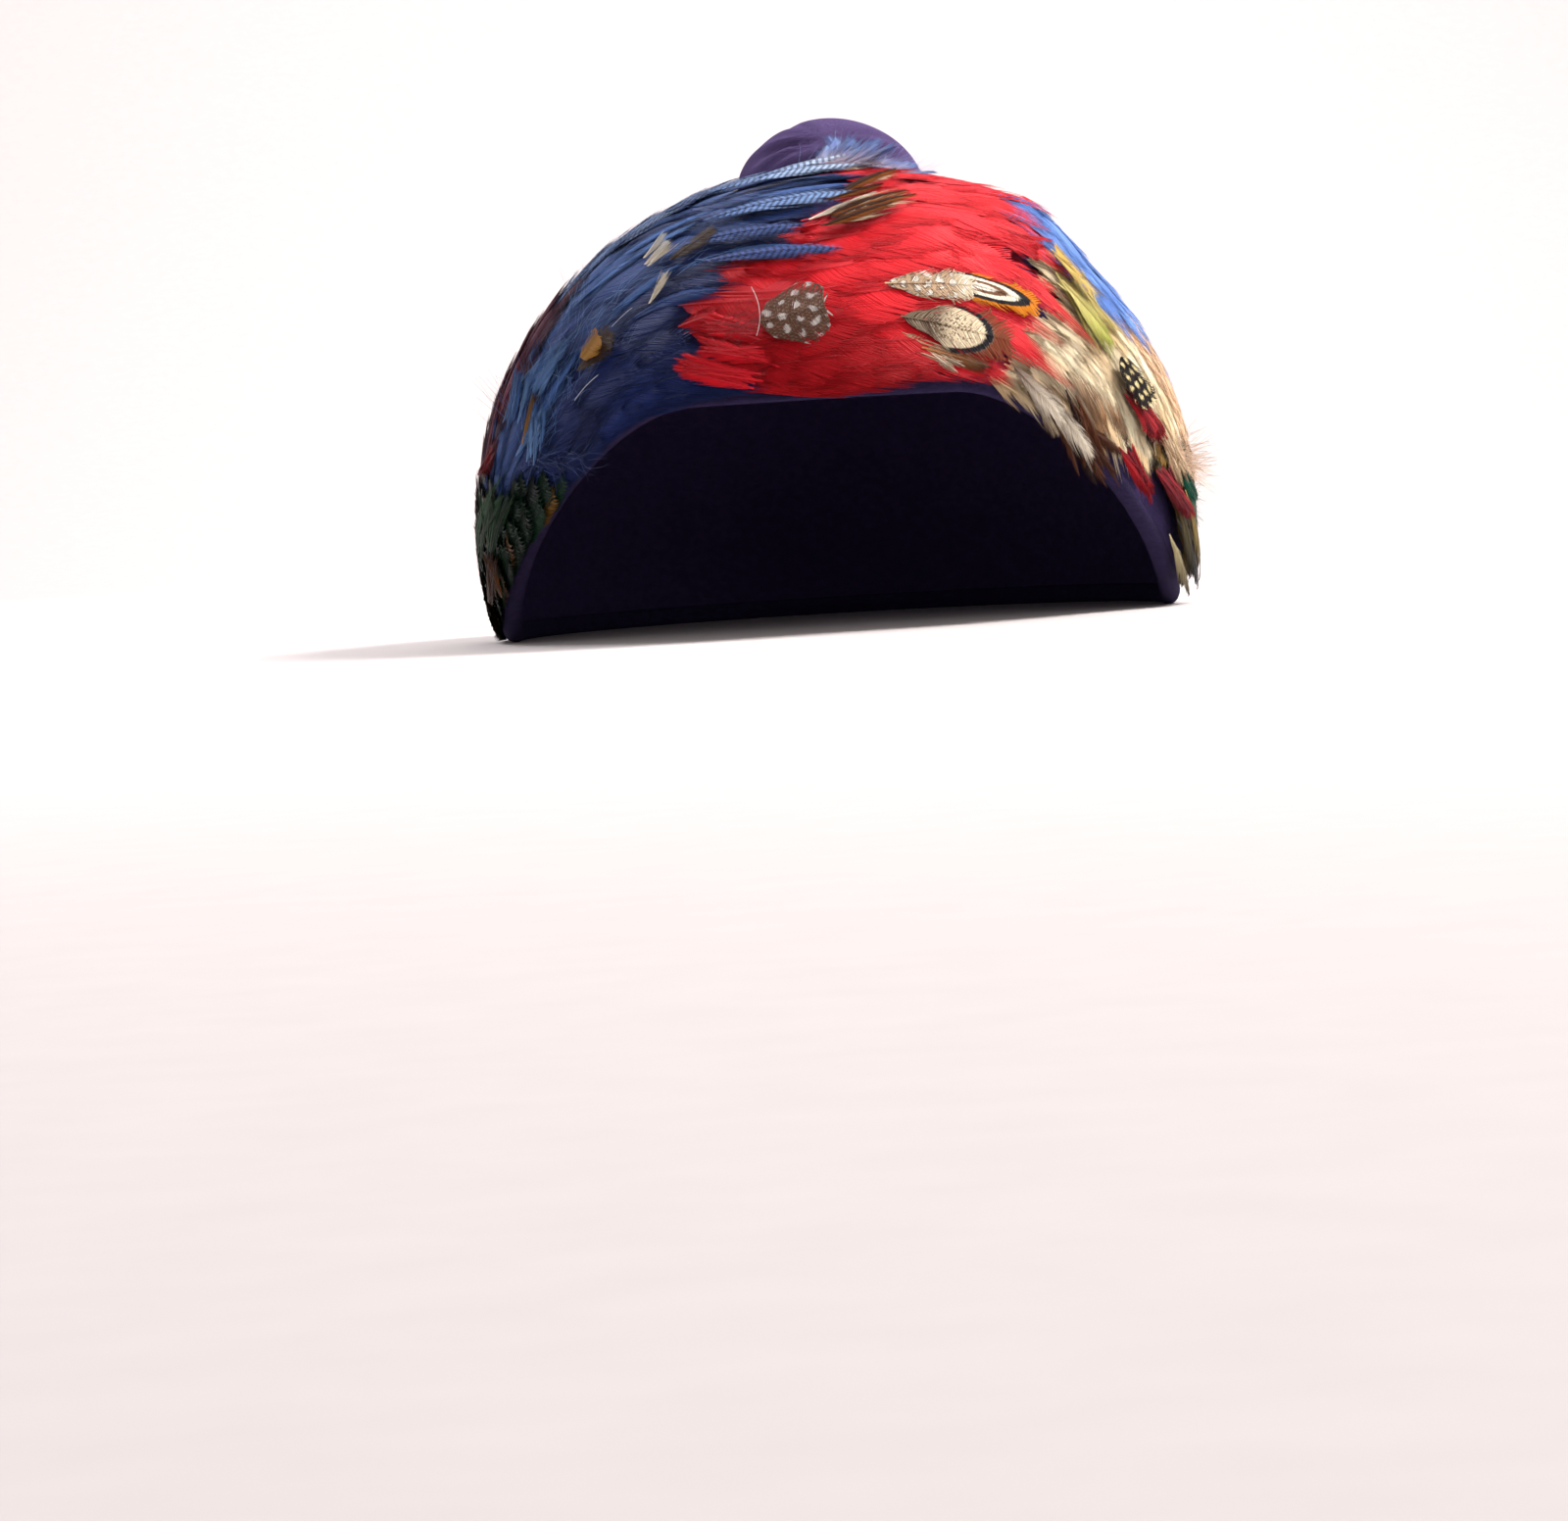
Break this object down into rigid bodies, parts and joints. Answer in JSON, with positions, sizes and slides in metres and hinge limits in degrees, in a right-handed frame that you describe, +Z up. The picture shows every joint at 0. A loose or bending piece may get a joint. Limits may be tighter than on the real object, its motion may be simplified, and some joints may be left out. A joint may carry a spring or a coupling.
{
  "type": "feather hat",
  "caption": "A close velvet skull cap with an arched front edge, a padded velvet knot on the crown and a band of navy, red, blue and cream feathers.",
  "frame": {"origin": "under the middle of the cap's length and width, on the plane it rests on", "axes": "+Z up through the crown, -Y towards the forehead, +X to the wearer's left"},
  "size_m": [0.1692, 0.1774, 0.1176],
  "materials": {
    "velvet": "matt cotton velvet",
    "navy": "satin feather",
    "light_blue": "satin feather",
    "red": "satin feather",
    "plum": "satin feather",
    "cream": "soft feather",
    "bronze": "satin feather",
    "amber": "satin feather",
    "lime": "satin feather",
    "speckled": "satin feather"
  },
  "bodies": {
    "root": {"velvet_shell": "velvet", "rim_binding": "velvet", "crown_knot": "velvet", "left_end_feathers": "bronze", "navy_feathers": "navy", "red_feathers": "red", "cream_feathers": "cream", "right_end_feathers": "bronze", "left_end_rear_feathers": "bronze", "plum_feathers": "plum", "barred_blue_feathers": "light_blue", "red_crown_feathers": "red", "sky_blue_feathers": "light_blue", "tan_feathers": "cream", "right_end_rear_feathers": "bronze", "barred_hackle_1": "light_blue", "barred_hackle_2": "navy", "brown_hackle": "bronze", "guinea_feather": "speckled", "pheasant_upper_feather": "amber", "pheasant_lower_feather": "speckled", "spotted_neck_feather": "speckled", "lime_feather": "lime", "dark_spotted_feather": "speckled", "red_side_feather": "red", "cream_tip_feather": "cream", "ochre_feather": "amber"}
  },
  "joints": []
}
